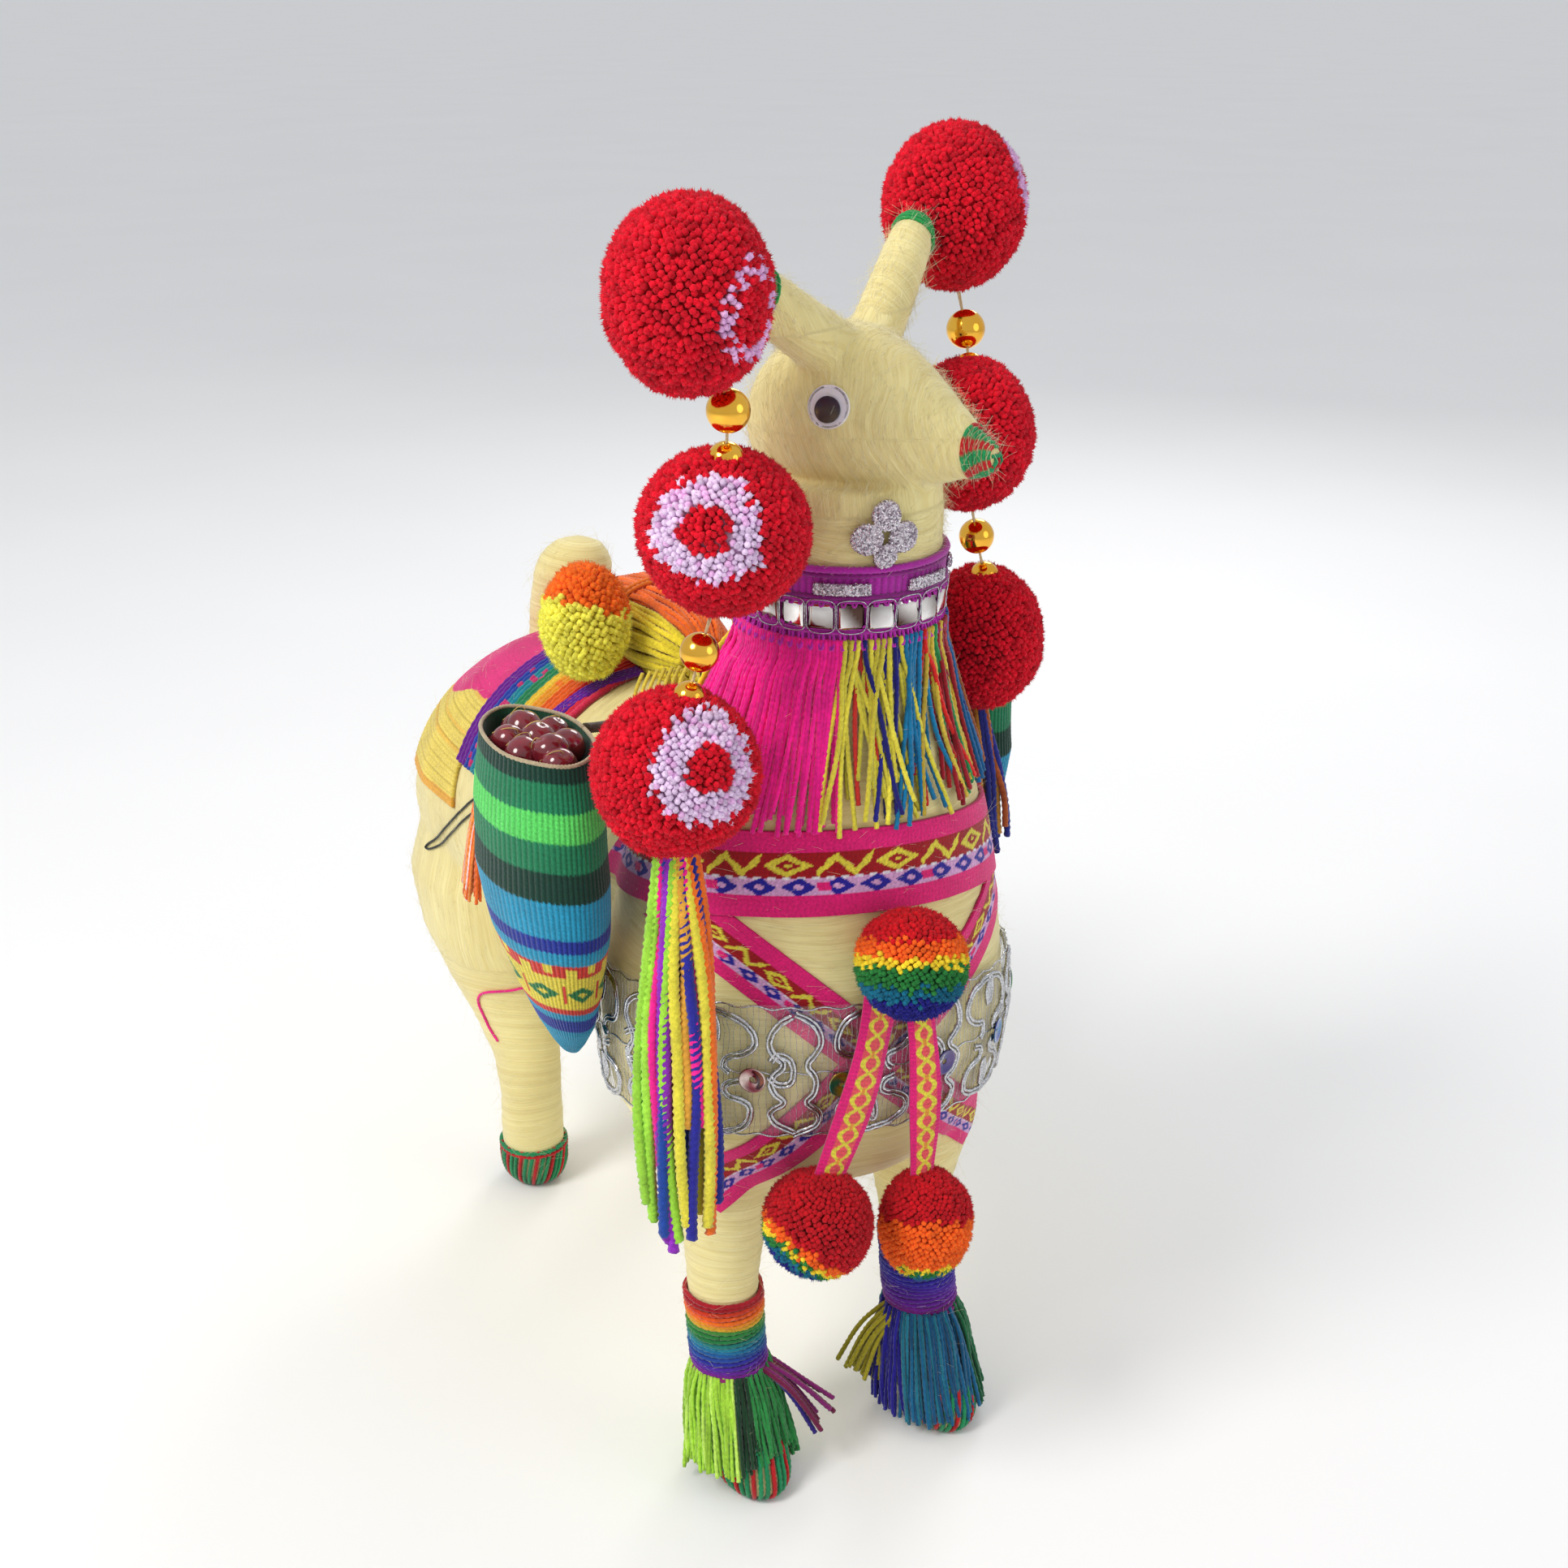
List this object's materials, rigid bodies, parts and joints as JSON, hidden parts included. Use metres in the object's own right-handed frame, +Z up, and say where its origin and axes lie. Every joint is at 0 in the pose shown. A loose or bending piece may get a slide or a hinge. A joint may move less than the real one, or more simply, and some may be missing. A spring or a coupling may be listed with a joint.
{
  "type": "wool-wrapped pack llama figure",
  "caption": "Wool-wrapped toy llama dressed with woven bands, lace, yarn fringe, beaded pompon drops and striped saddle bags full of berries.",
  "frame": {"origin": "middle of the footprint of the whole object, on the plane of the soles", "axes": "+Z up, the llama faces -Y, its own left side is +X"},
  "size_m": [0.2102, 0.3322, 0.435],
  "materials": {
    "wool_cream": "fuzzy combed wool",
    "wire": "plain wire",
    "thread_green": "wound thread",
    "hoof_yarn": "green and red yarn",
    "white_plastic": "gloss",
    "clear_plastic": "clear dome",
    "black_plastic": "gloss",
    "purple_braid": "looped braid",
    "mirror_foil": "foil",
    "silver_glitter": "glitter thread",
    "fringe_yarn": "pink, yellow, teal, navy yarn",
    "woven_band": "woven pink band",
    "silver_cord": "metallic soutache on net",
    "sequin": "iridescent",
    "rainbow_yarn": "rainbow yarn",
    "ankle_yarn": "yarn",
    "saddle_cloth": "rainbow stripes",
    "rump_cloth": "magenta and yellow yarn",
    "bundle_yarn": "orange and yellow yarn",
    "tassel_yarn": "orange and white yarn",
    "dark_cord": "twisted cord",
    "bag_cloth": "striped weave",
    "berry": "glossy dark red",
    "red_yarn": "pompon yarn",
    "gold": "polished",
    "drop_yarn": "lime, purple, navy, orange yarn"
  },
  "bodies": {
    "llama": {"wire_armature": "wire", "torso_wrap": "wool_cream", "neck_wrap": "wool_cream", "head_wrap": "wool_cream", "ear_right": "wool_cream", "ear_left": "wool_cream", "ear_threads": "thread_green", "front_leg_right": "wool_cream", "front_leg_left": "wool_cream", "rear_leg_right": "wool_cream", "rear_leg_left": "wool_cream", "tail_wrap": "wool_cream", "hoof_wraps": "hoof_yarn", "nose_wrap": "thread_green", "eye_cup_right": "white_plastic", "eye_dome_right": "clear_plastic", "eye_cup_left": "white_plastic", "eye_dome_left": "clear_plastic", "collar_braid": "purple_braid", "collar_mirrors": "mirror_foil", "collar_glitter": "silver_glitter", "neck_fringe": "fringe_yarn", "chest_band": "woven_band", "cross_band": "woven_band", "silver_lace": "silver_cord", "lace_sequins": "sequin", "chest_pompon": "rainbow_yarn", "ankle_cuff_right": "ankle_yarn", "ankle_cuff_left": "ankle_yarn", "ankle_tassel_right": "ankle_yarn", "ankle_tassel_left": "ankle_yarn", "saddle_blanket": "saddle_cloth", "rump_cloth": "rump_cloth", "saddle_bundle": "bundle_yarn", "saddle_pompon": "bundle_yarn", "blanket_tassel_right": "tassel_yarn", "blanket_tassel_left": "tassel_yarn", "bag_cord": "dark_cord", "ear_pompon_right": "red_yarn", "ear_pompon_left": "red_yarn"},
    "pupil_disc_right": {"pupil_right": "black_plastic"},
    "pupil_disc_left": {"pupil_left": "black_plastic"},
    "upper_drop_right": {"upper_beads_right": "gold", "upper_pompon_right": "red_yarn"},
    "lower_drop_right": {"lower_beads_right": "gold", "lower_pompon_right": "red_yarn", "drop_tassel_right": "drop_yarn"},
    "upper_drop_left": {"upper_beads_left": "gold", "upper_pompon_left": "red_yarn"},
    "lower_drop_left": {"lower_beads_left": "gold", "lower_pompon_left": "red_yarn", "drop_tassel_left": "drop_yarn"},
    "hanging_strap_right": {"strap_right": "woven_band", "strap_pompon_right": "rainbow_yarn"},
    "hanging_strap_left": {"strap_left": "woven_band", "strap_pompon_left": "rainbow_yarn"},
    "saddle_bag_right": {"bag_right": "bag_cloth", "berries_right": "berry"},
    "saddle_bag_left": {"bag_left": "bag_cloth", "berries_left": "berry"}
  },
  "joints": [
    {"name": "pupil_roll_right", "type": "hinge", "parent": "llama", "child": "pupil_disc_right", "pos_m": [-0.0166, -0.1196, 0.3653], "axis": [-0.7239, -0.6535, 0.2212], "continuous": true},
    {"name": "pupil_roll_left", "type": "hinge", "parent": "llama", "child": "pupil_disc_left", "pos_m": [0.0256, -0.0953, 0.3653], "axis": [0.9279, 0.3001, 0.2212], "continuous": true},
    {"name": "upper_drop_swing_right", "type": "hinge", "parent": "llama", "child": "upper_drop_right", "pos_m": [-0.057, -0.136, 0.378], "axis": [-0.5, 0.866, 0], "range_deg": [0, 30]},
    {"name": "lower_drop_swing_right", "type": "hinge", "parent": "upper_drop_right", "child": "lower_drop_right", "pos_m": [-0.057, -0.127, 0.3135], "axis": [-0.5, 0.866, 0], "range_deg": [0, 30]},
    {"name": "upper_drop_swing_left", "type": "hinge", "parent": "llama", "child": "upper_drop_left", "pos_m": [0.0535, -0.073, 0.3855], "axis": [0.5, -0.866, 0], "range_deg": [0, 30]},
    {"name": "lower_drop_swing_left", "type": "hinge", "parent": "upper_drop_left", "child": "lower_drop_left", "pos_m": [0.053, -0.085, 0.3225], "axis": [0.5, -0.866, 0], "range_deg": [0, 30]},
    {"name": "strap_swing_right", "type": "hinge", "parent": "llama", "child": "hanging_strap_right", "pos_m": [-0.0069, -0.1385, 0.1883], "axis": [-1, 0, 0], "range_deg": [0, 35]},
    {"name": "strap_swing_left", "type": "hinge", "parent": "llama", "child": "hanging_strap_left", "pos_m": [0.0054, -0.1385, 0.1883], "axis": [-1, 0, 0], "range_deg": [0, 35]},
    {"name": "bag_swing_right", "type": "hinge", "parent": "llama", "child": "saddle_bag_right", "pos_m": [-0.0705, -0.065, 0.2629], "axis": [0, 1, 0], "range_deg": [0, 25]},
    {"name": "bag_swing_left", "type": "hinge", "parent": "llama", "child": "saddle_bag_left", "pos_m": [0.0705, -0.021, 0.2629], "axis": [0, -1, 0], "range_deg": [0, 25]}
  ]
}
